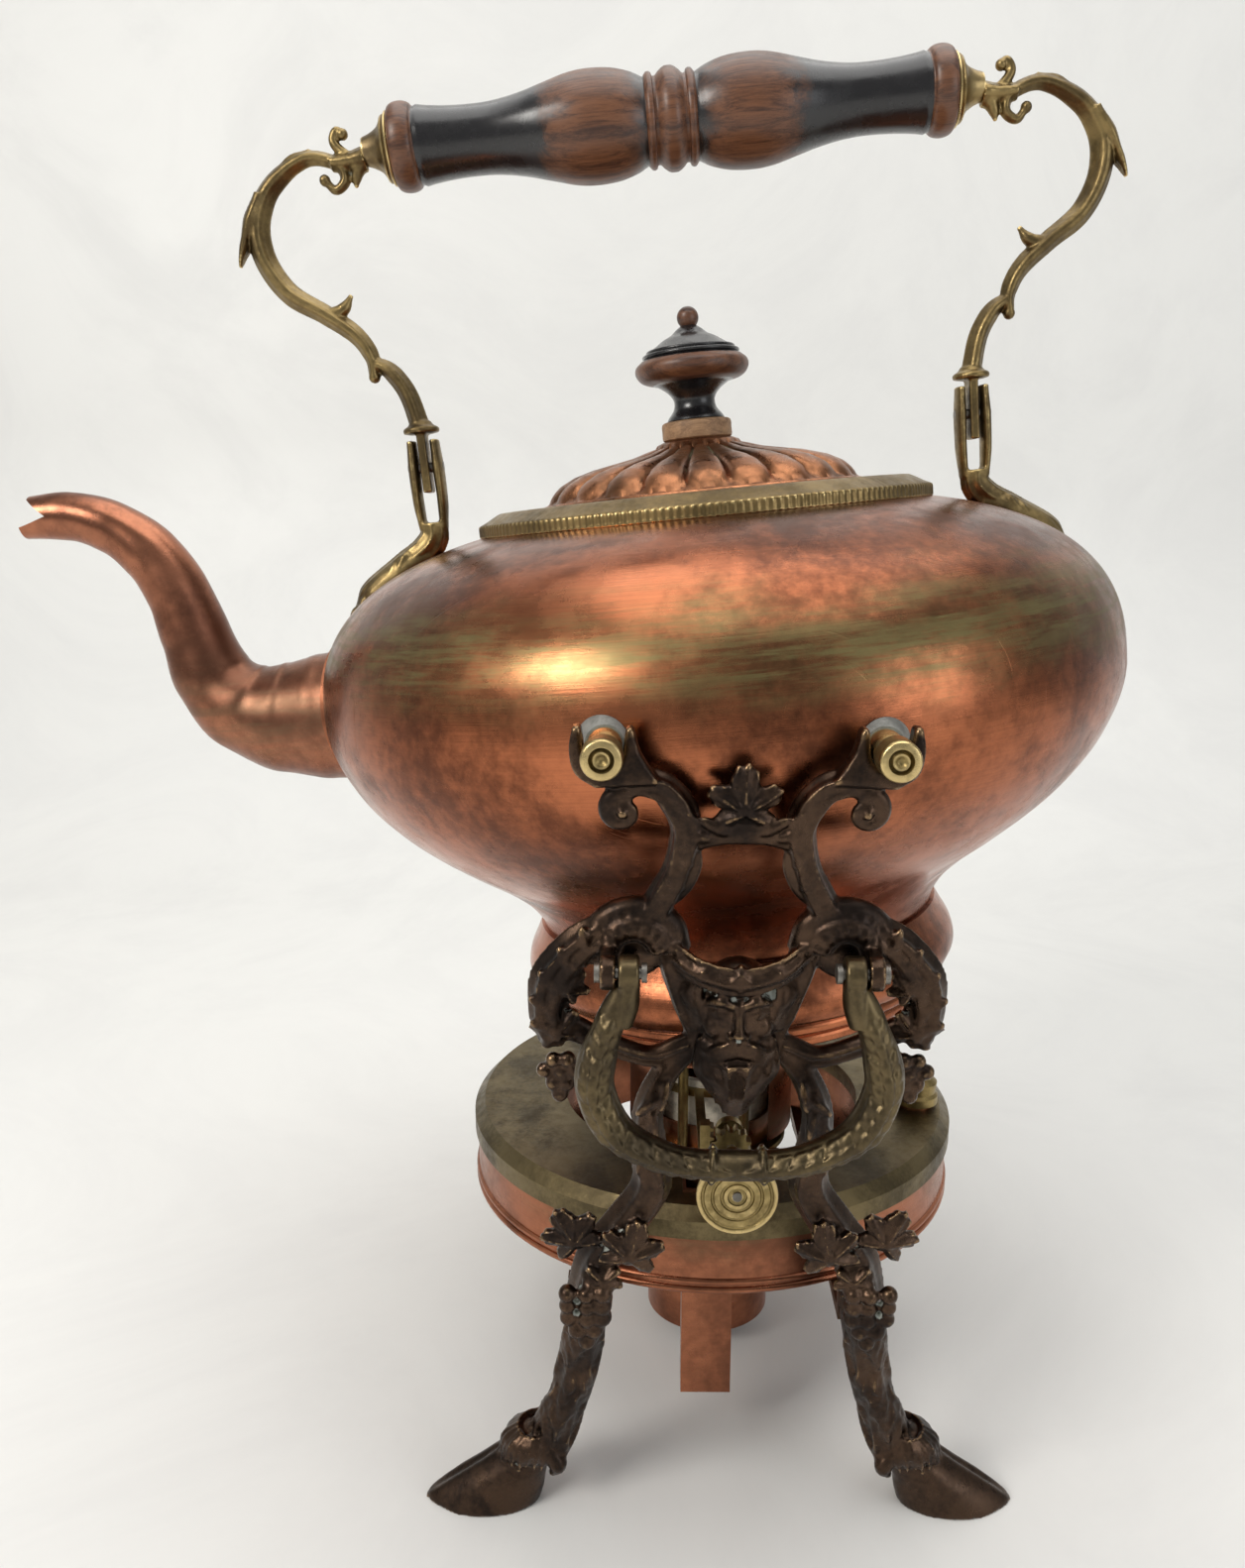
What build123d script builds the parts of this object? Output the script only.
"""Spirit kettle on a tilting stand.

Millimetres, +Z up, origin on the table under the middle of the whole's length and width.
The spout points along -X and the two cast side frames stand at -Y and +Y.
Kettle pieces are drawn upright, with z = 0 at the widest girth of the body,
and are then set on their support pins with the slight lean that they rest at.
"""
from build123d import *
from math import acos, cos, pi, radians, sin, sqrt
import os

os.makedirs("parts", exist_ok=True)

# ---- Where the stand is ---------------------------------------------------------
STAND_X = 38.89              # stand's middle, beyond the middle of the overall length

# ---- Kettle body ----------------------------------------------------------------
BODY_RADIUS = 101.3          # outside, at the girth
SHOULDER_RISE = 46.6         # the full crown would rise this far above the girth
SHOULDER_FULLNESS = 2.7      # exponent of the shoulder's curve: 2 is an ellipse, more is fuller
WAIST_DROP = 59.6            # girth to waist
# Belly from girth to waist: (share of the way out from the waist to the girth, share of the drop).
BELLY_SHAPE = [(0.987, 0.067), (0.945, 0.168), (0.857, 0.302), (0.722, 0.436), (0.587, 0.537), (0.427, 0.638),
               (0.255, 0.738), (0.116, 0.839), (0.027, 0.940)]
BODY_WALL = 1.0
MOUTH_RADIUS = 46.5
WAIST_RADIUS = 52.5
BASE_STEP = 3.0              # flat base below the waist

# ---- Foot ring under the body ---------------------------------------------------
FOOT_RADIUS = 58.0
FOOT_HEIGHT = 24.0
FOOT_WALL = 1.0
FOOT_STEP = 3.2              # each of the stepped mouldings under the flare

# ---- Collar round the mouth -----------------------------------------------------
COLLAR_RADIUS = 57.5
COLLAR_BAND = 2.8            # height of the upright milled band
COLLAR_BEVEL = 2.0
COLLAR_RIM_RADIUS = 50.2     # inner edge, where the lid drops in
LEDGE_RISE = 2.3             # the lid's seat, above the edge of the mouth
COLLAR_LIP = 1.6

# ---- Lid ------------------------------------------------------------------------
LID_GAP = 0.5                # between lid flange and collar
LID_FLANGE = 0.8
LID_WALL = 1.6
DOME_RADIUS = 40.0
DOME_HEIGHT = 12.8
DOME_TOP_RADIUS = 9.2
LIP_GAP = 0.4                # between the lid's lip and the mouth
LIP_WALL = 0.9
LIP_DEPTH = 6.5
GADROONS = 22
GROOVE_RADIUS = 1.5

# ---- Lid knob -------------------------------------------------------------------
KNOB_BASE_RADIUS = 8.8
KNOB_BASE_HEIGHT = 4.6
KNOB_NECK_RADIUS = 5.3
KNOB_RIM_RADIUS = 14.2
KNOB_RIM_HEIGHT = 17.3       # rim's widest line above the dome
KNOB_HEIGHT = 27.2           # to the ball's neck
KNOB_BALL_RADIUS = 2.7
KNOB_BALL_NECK = 1.9
KNOB_SCREW_RADIUS = 2.0
KNOB_SCREW_LENGTH = 22.0
KNOB_WASHER_RADIUS = 6.5
KNOB_WASHER = 1.0

# ---- Spout ----------------------------------------------------------------------
SPOUT_WALL = 1.0
SPOUT_ROOT_RADIUS = 18.0
SPOUT_PATH = [(9.3, 0.8), (-6.7, 0.8), (-17.2, 2.2), (-25.9, 6.6), (-31.5, 14.6), (-34.1, 25.4),
              (-37.0, 37.3), (-42.1, 46.9), (-49.9, 54.0), (-59.7, 58.0), (-72.7, 58.9)]   # from the girth
SPOUT_RADII = [18.0, 16.6, 14.6, 12.2, 10.2, 8.9, 8.1, 7.6, 6.8, 6.1, 5.3]
BEAK_NOTCH = 7.5             # depth of the V cut in the mouth
BEAK_LOWER = 3.2             # the lower jaw runs this much further than the upper
SPOUT_FLANGE = 1.6            # flange beyond the spout's root
SPOUT_FLANGE_THICKNESS = 1.0
STRAINER_HOLE_RADIUS = 15.0

# ---- Handle ---------------------------------------------------------------------
HINGE_INSET = 31.9           # the hinge forks stand this far inside the girth
HINGE_X = BODY_RADIUS - HINGE_INSET
HINGE_HEIGHT = 61.5          # hinge pins above the girth
FORK_WIDTH = 9.0
FORK_DEPTH = 7.2
FORK_SLOT = 3.0
FORK_SLOT_DEPTH = 14.0       # below the hinge pin
FORK_TOP = 7.4               # above the hinge pin
HINGE_PIN_RADIUS = 1.25
RUNNING_FIT = 0.08
TONGUE_GAP = 0.4             # each side of the tongue
TONGUE_TAIL = 6.2
GRIP_HEIGHT = 135.7          # grip axis above the girth
GRIP_INSET = 2.2             # grip's end inside the hinge
GRIP_HALF_LENGTH = HINGE_X - GRIP_INSET
GRIP_BULB_RADIUS = 12.5
GRIP_COVE_RADIUS = 7.7
GRIP_BEAD_RADIUS = 11.3
GRIP_RING_RADIUS = 9.9
FERRULE_RADIUS = 8.2
FERRULE_LENGTH = 7.6
FERRULE_NECK = 3.0
TIE_ROD_RADIUS = 2.0
ARM_RADIUS = 2.5
FLARE_RADIUS = 4.6
FLARE_GAP = 0.8              # flare above the fork

# ---- Support pins and how the kettle hangs on them ------------------------------
PIN_X = 26.0
PIN_HEIGHT = 191.0           # above the table
PIN_RADIUS = 3.3
PIN_HEAD_RADIUS = 3.8
PIN_HEAD_LENGTH = 6.0
PIN_REACH = 15.7             # beyond the girth
PIN_END_Y = BODY_RADIUS + PIN_REACH
PIN_BOSS_RADIUS = 5.8
PIN_BOSS_HEIGHT = 3.0
GIRTH_HEIGHT = 190.0         # kettle's girth above the table
KETTLE_LEAN = 5.75           # degrees, towards the spout

# ---- Side frames ----------------------------------------------------------------
FRAME_LEAN = 10.5            # degrees, each frame's top leans outwards
FRAME_INSET = 31.3           # the frames' feet stand this far inside the girth
FRAME_FOOT_Y = BODY_RADIUS - FRAME_INSET
HOOK_THICKNESS = 5.0
HOOK_PRONG = 4.6             # prong tips above the pins
HOOK_FLARE = 0.6             # each side of the slot opens by this much at twice the prong height
LEAF_THICKNESS = 2.4
CREST_HEIGHT = 180.0
CREST_SIZE = 7.6
LUG_X = 25.4                 # tab that carries the drop ring
LUG_THICKNESS = 3.0
LUG_REACH = 9.0              # pivot back to the casting's rear
HOOF_TOE_X = 71.5
HOOF_HEEL_X = 43.5
HOOF_HALF_WIDTH = 7.6
HOOF_HEIGHT = 15.5
GRAPE_RADIUS = 2.7

# ---- Drop rings -----------------------------------------------------------------
RING_PIVOT_HEIGHT = 150.0
RING_PIVOT_OUT = 9.0         # pivot in front of the frame's middle plane
RING_PIN_RADIUS = 1.2
RING_EYE_GAP = 0.4
RING_EYE_THICKNESS = 4.2
RING_EYE_RADIUS = 3.6
RING_DROP = 40.0             # pivot to the ring's centre line at the bottom
RING_HALF_WIDTH = 27.8       # to the ring's centre line
RING_SECTION = 4.2

# ---- Stretchers that join the frames and carry the burner -----------------------
STRETCHER_X = 31.5
STRETCHER_WIDTH = 9.0
STRETCHER_THICKNESS = 2.5
STRETCHER_END_HEIGHT = 11.0
PAD_INSET = 2.0              # pads' inner faces beyond the feet's middle line
PAD_FACE_Y = FRAME_FOOT_Y + PAD_INSET
SCREW_RADIUS = 1.5
SCREW_HEAD_RADIUS = 3.0
SCREW_HEAD_HEIGHT = 1.6
SCREW_LENGTH = 5.0
SCREW_HEIGHT = 56.0          # above the table

# ---- Burner ---------------------------------------------------------------------
TANK_RADIUS = 66.0
TANK_INNER_RADIUS = 42.0
TANK_FLOOR = 52.0            # above the table
TANK_TOP = 74.0
SHEET = 0.8
RIM_BEVEL = 2.8
RIM_SKIRT = 4.6
BEAD_RADIUS = 0.9
WELL_RADIUS = 17.5
WELL_FLOOR = 6.5
WELL_TOP = 70.0
AIR_TUBE_RADIUS = 14.0
AIR_TUBE_TOP = 76.0
FLANGE_RADIUS = 21.5
FLANGE_HEIGHT = 61.0
FLANGE_THICKNESS = 1.5
FEED_RADIUS = 3.0
FEED_HEIGHT = 57.0
POST_RADIUS = 1.4
POST_CIRCLE = 19.6
HOOD_RADIUS = 23.0
HOOD_SKIRT = 66.0
HOOD_TOP = 94.0
HOOD_VENT_RADIUS = 12.5
HOOD_WINDOW = 15.0
FILLER_RADIUS = 4.6
FILLER_CIRCLE = 57.4
FILLER_ANGLE = -10.0
FILLER_NECK_HEIGHT = 4.5
CAP_RADIUS = 6.0
CAP_HEIGHT = 7.5
CAP_SEAT = 1.2               # cap's skirt above the tank

# ---- Wick raiser ----------------------------------------------------------------
WICK_WALL = 1.9
WICK_GAP = 0.4
WICK_TOP = 83.0
WICK_LENGTH = 50.0
CARRIER_HEIGHT = 79.0
CARRIER_THICKNESS = 2.0
CARRIER_WIDTH = 1.4
CASING_X = -3.0
RACK_Y = -54.0
CASING_WIDTH = 12.4
CASING_DEPTH = 8.0
CASING_BOTTOM = 18.5
CASING_TOP = 74.8
RACK_DEPTH = 3.6
RACK_WIDTH = 3.4
RACK_LENGTH = 56.0
RACK_TOP = 90.5
BACKLASH = 0.25
TOOTH_PITCH = 2.4
PINION_TEETH = 12
TOOTH_DEPTH = 1.2
WINDER_X = 2.4
WINDER_HEIGHT = 84.5
WINDER_SHAFT_RADIUS = 1.1
WINDER_DISC_RADIUS = 9.2
WINDER_DISC_THICKNESS = 1.4
WINDER_DISC_Y = -78.0
WINDER_INNER_Y = -45.0
BEARING_Y = (-62.5, -47.0)
BEARING_THICKNESS = 2.5
BEARING_WIDTH = 7.0

# ---- Placements -----------------------------------------------------------------
KETTLE_POSE = Location((0, 0, GIRTH_HEIGHT), (0, -KETTLE_LEAN, 0))
FRAME_POSE = Location((0, -FRAME_FOOT_Y, 0), (FRAME_LEAN, 0, 0))
HALF_TURN = Location((0, 0, 0), (0, 0, 180))
EXTRA = 1.0                  # how far a cutter runs past the face that it opens


def save(piece, name):
    """Set one finished piece beside the origin, label it and write its STEP file."""
    placed = Location((STAND_X, 0, 0)) * piece
    placed.label = name
    export_step(placed, f"parts/{name}.step")


def limb(points, radii):
    """A round limb through the points, tapering through evenly spaced radii."""
    with BuildLine() as path:
        Spline(*points)
    spine = path.line
    sections = []
    for step, radius in enumerate(radii):
        at = step / (len(radii) - 1)
        with BuildSketch(Plane(origin=spine @ at, x_dir=(0, 1, 0), z_dir=spine % at)) as section:
            Circle(radius)
        sections.append(section.sketch)
    with BuildPart() as tapered:
        sweep(sections=sections, path=spine, multisection=True)
    return tapered.part


def ball(place, radius):
    """A ball at a place."""
    with BuildPart() as round_end:
        with Locations(place):
            Sphere(radius)
    return round_end.part


def turned(outline, plane=Plane.XZ, axis=Axis.Z):
    """A piece turned on the lathe from a closed outline of (radius, height) corners."""
    with BuildPart() as spun:
        with BuildSketch(plane):
            with BuildLine():
                Polyline(*outline, close=True)
            make_face()
        revolve(axis=axis)
    return spun.part


# ================================ Kettle body ====================================
def girth_height(radius):
    """Height of the shoulder's outside above the girth where it has this radius."""
    return SHOULDER_RISE * (1 - (radius / BODY_RADIUS) ** SHOULDER_FULLNESS) ** (1 / SHOULDER_FULLNESS)


LEDGE_HEIGHT = girth_height(MOUTH_RADIUS) + LEDGE_RISE
WAIST_HEIGHT = -WAIST_DROP
BASE_HEIGHT = WAIST_HEIGHT - BASE_STEP
PROFILE_STEPS = 9


def body_side(inset=0.0):
    """Points down the body's side from the mouth to the waist, moved inwards by inset."""
    mouth_turn = acos((MOUTH_RADIUS / BODY_RADIUS) ** (SHOULDER_FULLNESS / 2))
    turns = [mouth_turn * (1 - step / PROFILE_STEPS) for step in range(PROFILE_STEPS)]
    line = [(BODY_RADIUS * cos(turn) ** (2 / SHOULDER_FULLNESS), SHOULDER_RISE * sin(turn) ** (2 / SHOULDER_FULLNESS))
            for turn in turns]
    line.append((BODY_RADIUS, 0))
    line += [(WAIST_RADIUS + out * (BODY_RADIUS - WAIST_RADIUS), -drop * WAIST_DROP) for out, drop in BELLY_SHAPE]
    line.append((WAIST_RADIUS, WAIST_HEIGHT))
    moved = []
    for place, (radius, height) in enumerate(line):
        before = line[max(place - 1, 0)]
        after = line[min(place + 1, len(line) - 1)]
        across, down = after[0] - before[0], after[1] - before[1]
        length = sqrt(across ** 2 + down ** 2)
        moved.append((radius + inset * down / length, height - inset * across / length))
    return moved


def body_of_side(side, floor):
    """The solid of revolution inside one side line, closed by flat ends."""
    with BuildPart() as solid:
        with BuildSketch(Plane.XZ):
            with BuildLine():
                Spline(*side)
                Polyline(side[-1], (side[-1][0] - BASE_STEP, floor), (0, floor), (0, side[0][1]), side[0])
            make_face()
        revolve(axis=Axis.Z)
    return solid.part


body_envelope = body_of_side(body_side(), BASE_HEIGHT)
with BuildPart() as kettle_body:
    add(body_envelope)
    add(body_of_side(body_side(BODY_WALL), BASE_HEIGHT + BODY_WALL), mode=Mode.SUBTRACT)
    with Locations((0, 0, SHOULDER_RISE)):
        Cylinder(MOUTH_RADIUS, SHOULDER_RISE / 2, mode=Mode.SUBTRACT)
    with Locations(Location((-BODY_RADIUS, 0, SPOUT_PATH[0][1]), (0, 90, 0))):
        Cylinder(STRAINER_HOLE_RADIUS, BODY_RADIUS / 2, mode=Mode.SUBTRACT)
save(KETTLE_POSE * kettle_body.part, "kettle_body")

# Spun foot: it sleeves the waist, swells like a bell and steps in under three mouldings.
foot_widest = WAIST_HEIGHT - FOOT_HEIGHT / 2
foot_bottom = WAIST_HEIGHT - FOOT_HEIGHT
with BuildPart() as foot_ring:
    with BuildSketch(Plane.XZ):
        with BuildLine():
            outside = Spline((WAIST_RADIUS + FOOT_WALL, WAIST_HEIGHT),
                             (FOOT_RADIUS - 0.9 * FOOT_STEP, WAIST_HEIGHT - 1.1 * FOOT_STEP),
                             (FOOT_RADIUS - 0.2 * FOOT_STEP, foot_widest + 1.3 * FOOT_STEP),
                             (FOOT_RADIUS, foot_widest),
                             (FOOT_RADIUS - 0.5 * FOOT_STEP, foot_widest - 1.1 * FOOT_STEP))
            Polyline(outside @ 1, (FOOT_RADIUS - 1.3 * FOOT_STEP, foot_widest - 1.5 * FOOT_STEP),
                     (FOOT_RADIUS - 1.3 * FOOT_STEP, foot_widest - 2.4 * FOOT_STEP),
                     (FOOT_RADIUS - 2 * FOOT_STEP, foot_widest - 2.7 * FOOT_STEP),
                     (FOOT_RADIUS - 2.3 * FOOT_STEP, foot_bottom),
                     (FOOT_RADIUS - 3.3 * FOOT_STEP, foot_bottom),
                     (FOOT_RADIUS - 3.3 * FOOT_STEP, foot_widest - FOOT_STEP),
                     (WAIST_RADIUS, foot_widest), (WAIST_RADIUS, WAIST_HEIGHT), outside @ 0)
        make_face()
    revolve(axis=Axis.Z)
    add(body_envelope, mode=Mode.SUBTRACT)
save(KETTLE_POSE * foot_ring.part, "foot_ring")

# Brass collar: a milled band, a bevel and the ledge that the lid sits on.
band_foot = girth_height(COLLAR_RADIUS)
band_top = band_foot + COLLAR_BAND
with BuildPart() as mouth_collar:
    with BuildSketch(Plane.XZ):
        with BuildLine():
            Polyline((COLLAR_RADIUS, band_foot), (COLLAR_RADIUS, band_top),
                     (COLLAR_RADIUS - COLLAR_BEVEL, band_top + COLLAR_BEVEL / 2),
                     (COLLAR_RIM_RADIUS + COLLAR_BEVEL, LEDGE_HEIGHT + COLLAR_LIP),
                     (COLLAR_RIM_RADIUS, LEDGE_HEIGHT + COLLAR_LIP),
                     (COLLAR_RIM_RADIUS, LEDGE_HEIGHT), (MOUTH_RADIUS, LEDGE_HEIGHT),
                     (MOUTH_RADIUS, band_foot), close=True)
        make_face()
    revolve(axis=Axis.Z)
    add(body_envelope, mode=Mode.SUBTRACT)
save(KETTLE_POSE * mouth_collar.part, "mouth_collar")

# ================================ Spout ==========================================
spout_points = [(x - BODY_RADIUS, 0, z) for x, z in SPOUT_PATH]
spout_outside = limb(spout_points, SPOUT_RADII)
spout_bore = limb(spout_points, [radius - SPOUT_WALL for radius in SPOUT_RADII])
tip_x, tip_z = spout_points[-1][0], spout_points[-1][2]
tip_radius = SPOUT_RADII[-1]
with BuildPart() as spout:
    add(spout_outside)
    add(spout_bore, mode=Mode.SUBTRACT)
    add(body_envelope, mode=Mode.SUBTRACT)
    with BuildSketch(Plane.XZ):
        with BuildLine():
            Polyline((tip_x - EXTRA, tip_z - tip_radius / 2), (tip_x + BEAK_NOTCH, tip_z - EXTRA / 2),
                     (tip_x + BEAK_LOWER, tip_z + tip_radius - SPOUT_WALL),
                     (tip_x + BEAK_LOWER, tip_z + 2 * tip_radius),
                     (tip_x - BEAK_NOTCH, tip_z + 2 * tip_radius), (tip_x - BEAK_NOTCH, tip_z), close=True)
        make_face()
    extrude(amount=2 * tip_radius, both=True, mode=Mode.SUBTRACT)
save(KETTLE_POSE * spout.part, "spout")

# Saddle flange soldered round the spout's root, following the body's curve.
with BuildPart() as spout_flange:
    with Locations(Location((-BODY_RADIUS, 0, SPOUT_PATH[0][1]), (0, 90, 0))):
        Cylinder(SPOUT_ROOT_RADIUS + SPOUT_FLANGE, BODY_RADIUS / 2)
    add(body_of_side(body_side(-SPOUT_FLANGE_THICKNESS), BASE_HEIGHT), mode=Mode.INTERSECT)
    add(spout_outside, mode=Mode.SUBTRACT)
    add(body_envelope, mode=Mode.SUBTRACT)
save(KETTLE_POSE * spout_flange.part, "spout_flange")

# ================================ Lid ============================================
flange_radius = COLLAR_RIM_RADIUS - LID_GAP
lip_radius = MOUTH_RADIUS - LIP_GAP
dome_foot = LEDGE_HEIGHT + LID_FLANGE + LID_WALL
dome_top = dome_foot + DOME_HEIGHT
with BuildPart() as lid:
    with BuildSketch(Plane.XZ):
        with BuildLine():
            crown = Spline((DOME_RADIUS, dome_foot), (0.9 * DOME_RADIUS, dome_foot + 0.3 * DOME_HEIGHT),
                           (0.68 * DOME_RADIUS, dome_foot + 0.58 * DOME_HEIGHT),
                           (0.42 * DOME_RADIUS, dome_foot + 0.77 * DOME_HEIGHT),
                           (DOME_TOP_RADIUS, dome_top))
            under = Spline((DOME_RADIUS - LID_WALL, dome_foot - LID_WALL),
                           (0.9 * DOME_RADIUS - LID_WALL, dome_foot + 0.3 * DOME_HEIGHT - LID_WALL),
                           (0.68 * DOME_RADIUS - LID_WALL / 2, dome_foot + 0.58 * DOME_HEIGHT - LID_WALL),
                           (0.42 * DOME_RADIUS, dome_foot + 0.77 * DOME_HEIGHT - LID_WALL),
                           (DOME_TOP_RADIUS - LID_WALL / 2, dome_top - LID_WALL))
            Polyline(crown @ 1, (KNOB_SCREW_RADIUS, dome_top), (KNOB_SCREW_RADIUS, dome_top - LID_WALL),
                     under @ 1)
            Polyline(crown @ 0, (DOME_RADIUS + LID_WALL, LEDGE_HEIGHT + LID_FLANGE),
                     (flange_radius, LEDGE_HEIGHT + LID_FLANGE), (flange_radius, LEDGE_HEIGHT),
                     (lip_radius, LEDGE_HEIGHT), (lip_radius, LEDGE_HEIGHT - LIP_DEPTH),
                     (lip_radius - LIP_WALL, LEDGE_HEIGHT - LIP_DEPTH),
                     (lip_radius - LIP_WALL, LEDGE_HEIGHT), under @ 0)
        make_face()
    revolve(axis=Axis.Z)
    groove_line = [(0.98 * DOME_RADIUS, 0, dome_foot + 0.22 * DOME_HEIGHT),
                   (0.86 * DOME_RADIUS, 0, dome_foot + 0.46 * DOME_HEIGHT),
                   (0.6 * DOME_RADIUS, 0, dome_foot + 0.72 * DOME_HEIGHT),
                   (0.36 * DOME_RADIUS, 0, dome_foot + 0.9 * DOME_HEIGHT)]
    groove = limb(groove_line, [GROOVE_RADIUS, GROOVE_RADIUS, 0.8 * GROOVE_RADIUS, GROOVE_RADIUS / 2])
    with PolarLocations(0, GADROONS):
        add(groove, mode=Mode.SUBTRACT)
save(KETTLE_POSE * lid.part, "lid")

# Turned knob on its base disc, held by a screw and washer from inside the lid.
base_disc = turned([(KNOB_SCREW_RADIUS, dome_top), (KNOB_BASE_RADIUS - 0.5, dome_top),
                    (KNOB_BASE_RADIUS, dome_top + 0.8), (KNOB_BASE_RADIUS, dome_top + KNOB_BASE_HEIGHT - 0.8),
                    (KNOB_BASE_RADIUS - 0.6, dome_top + KNOB_BASE_HEIGHT),
                    (KNOB_SCREW_RADIUS, dome_top + KNOB_BASE_HEIGHT)])
save(KETTLE_POSE * base_disc, "knob_base")

knob_foot = dome_top + KNOB_BASE_HEIGHT
rim_line = dome_top + KNOB_RIM_HEIGHT
neck_line = dome_top + KNOB_HEIGHT
screw_top = dome_top - LID_WALL - KNOB_WASHER + KNOB_SCREW_LENGTH
with BuildPart() as lid_knob:
    with BuildSketch(Plane.XZ):
        with BuildLine():
            Polyline((0, screw_top), (KNOB_SCREW_RADIUS, screw_top), (KNOB_SCREW_RADIUS, knob_foot),
                     (KNOB_BASE_RADIUS - 1.6, knob_foot), (KNOB_BASE_RADIUS - 1.9, knob_foot + 1.0))
            neck = Spline((KNOB_BASE_RADIUS - 1.9, knob_foot + 1.0), (KNOB_NECK_RADIUS, knob_foot + 3.2),
                          (KNOB_NECK_RADIUS, knob_foot + 5.4), (KNOB_NECK_RADIUS + 3.6, rim_line - 3.8))
            rim = Spline(neck @ 1, (KNOB_RIM_RADIUS - 1.2, rim_line - 2.4), (KNOB_RIM_RADIUS, rim_line),
                         (KNOB_RIM_RADIUS - 1.9, rim_line + 2.4))
            Polyline(rim @ 1, (KNOB_RIM_RADIUS - 2.3, rim_line + 2.5), (KNOB_RIM_RADIUS - 2.2, rim_line + 3.3),
                     (KNOB_RIM_RADIUS - 3.2, rim_line + 3.9))
            Spline((KNOB_RIM_RADIUS - 3.2, rim_line + 3.9), (KNOB_RIM_RADIUS - 7.5, rim_line + 7.0),
                   (KNOB_BALL_RADIUS + 0.9, neck_line - 0.9), (KNOB_BALL_NECK, neck_line))
            ball_line = neck_line + sqrt(KNOB_BALL_RADIUS ** 2 - KNOB_BALL_NECK ** 2)
            ThreePointArc((KNOB_BALL_NECK, neck_line), (KNOB_BALL_RADIUS, ball_line),
                          (0, ball_line + KNOB_BALL_RADIUS))
            Line((0, ball_line + KNOB_BALL_RADIUS), (0, screw_top))
        make_face()
    revolve(axis=Axis.Z)
save(KETTLE_POSE * lid_knob.part, "lid_knob")

washer = turned([(KNOB_SCREW_RADIUS, dome_top - LID_WALL), (KNOB_WASHER_RADIUS, dome_top - LID_WALL),
                 (KNOB_WASHER_RADIUS, dome_top - LID_WALL - KNOB_WASHER),
                 (KNOB_SCREW_RADIUS, dome_top - LID_WALL - KNOB_WASHER)])
save(KETTLE_POSE * washer, "knob_washer")

screw_seat = dome_top - LID_WALL - KNOB_WASHER
knob_screw = turned([(0, screw_seat - SCREW_HEAD_HEIGHT), (2 * KNOB_SCREW_RADIUS, screw_seat - SCREW_HEAD_HEIGHT),
                     (2 * KNOB_SCREW_RADIUS, screw_seat), (KNOB_SCREW_RADIUS, screw_seat),
                     (KNOB_SCREW_RADIUS, screw_top), (0, screw_top)])
save(KETTLE_POSE * knob_screw, "knob_screw")

# ================================ Handle =========================================
# The hinge forks are soldered to the shoulder and end in a leaf foot.
fork_foot = girth_height(HINGE_X)
hinge_line = Location((HINGE_X, 0, HINGE_HEIGHT), (0, 90, 0))
fork_floor = HINGE_HEIGHT - FORK_SLOT_DEPTH
with BuildPart() as bracket:
    with BuildSketch(Plane.YZ.offset(HINGE_X)):
        with Locations((0, HINGE_HEIGHT + FORK_TOP - FORK_DEPTH / 2)):
            Circle(FORK_DEPTH / 2)
        with BuildLine():
            Polyline((-FORK_DEPTH / 2, HINGE_HEIGHT + FORK_TOP - FORK_DEPTH / 2),
                     (FORK_DEPTH / 2, HINGE_HEIGHT + FORK_TOP - FORK_DEPTH / 2),
                     (FORK_DEPTH / 2, HINGE_HEIGHT), (FORK_DEPTH / 2 - 0.4, fork_floor - 2),
                     (-FORK_DEPTH / 2 + 0.4, fork_floor - 2), (-FORK_DEPTH / 2, HINGE_HEIGHT), close=True)
        make_face()
    extrude(amount=FORK_WIDTH / 2, both=True)
    with BuildSketch(Plane.XZ):
        with BuildLine():
            waist_in = HINGE_X - FORK_WIDTH / 2
            waist_out = HINGE_X + FORK_WIDTH / 2
            left = Spline((HINGE_X - 3.4, fork_floor - 2), (waist_in, HINGE_HEIGHT - 4),
                          (waist_in + 0.6, HINGE_HEIGHT + FORK_TOP))
            right = Spline((HINGE_X + 3.4, fork_floor - 2), (waist_out, HINGE_HEIGHT - 4),
                           (waist_out - 0.6, HINGE_HEIGHT + FORK_TOP))
            Line(left @ 0, right @ 0)
            Line(left @ 1, right @ 1)
        make_face()
    extrude(amount=FORK_DEPTH, both=True, mode=Mode.INTERSECT)
    add(limb([(HINGE_X, 0, fork_floor + 0.5), (HINGE_X + 0.2, 0, fork_floor - 3), (HINGE_X + 2.6, 0, fork_floor - 8.2),
              (HINGE_X + 8, 0, fork_foot - 0.6), (HINGE_X + 15.5, 0, fork_foot - 4.6),
              (HINGE_X + 23, 0, fork_foot - 11.8)], [3.4, 3.5, 3.2, 3.0, 3.0, 2.4, 1.1]))
    with BuildSketch(Plane.XZ):
        with Locations((HINGE_X, fork_floor + HINGE_HEIGHT / 2)):
            Rectangle(FORK_SLOT, HINGE_HEIGHT)
    extrude(amount=FORK_DEPTH, both=True, mode=Mode.SUBTRACT)
    with Locations(hinge_line):
        Cylinder(HINGE_PIN_RADIUS, 2 * FORK_WIDTH, mode=Mode.SUBTRACT)
    add(body_envelope, mode=Mode.SUBTRACT)
    add(mouth_collar.part, mode=Mode.SUBTRACT)
save(KETTLE_POSE * bracket.part, "bracket_right")
save(KETTLE_POSE * mirror(bracket.part, about=Plane.YZ), "bracket_left")

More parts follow.
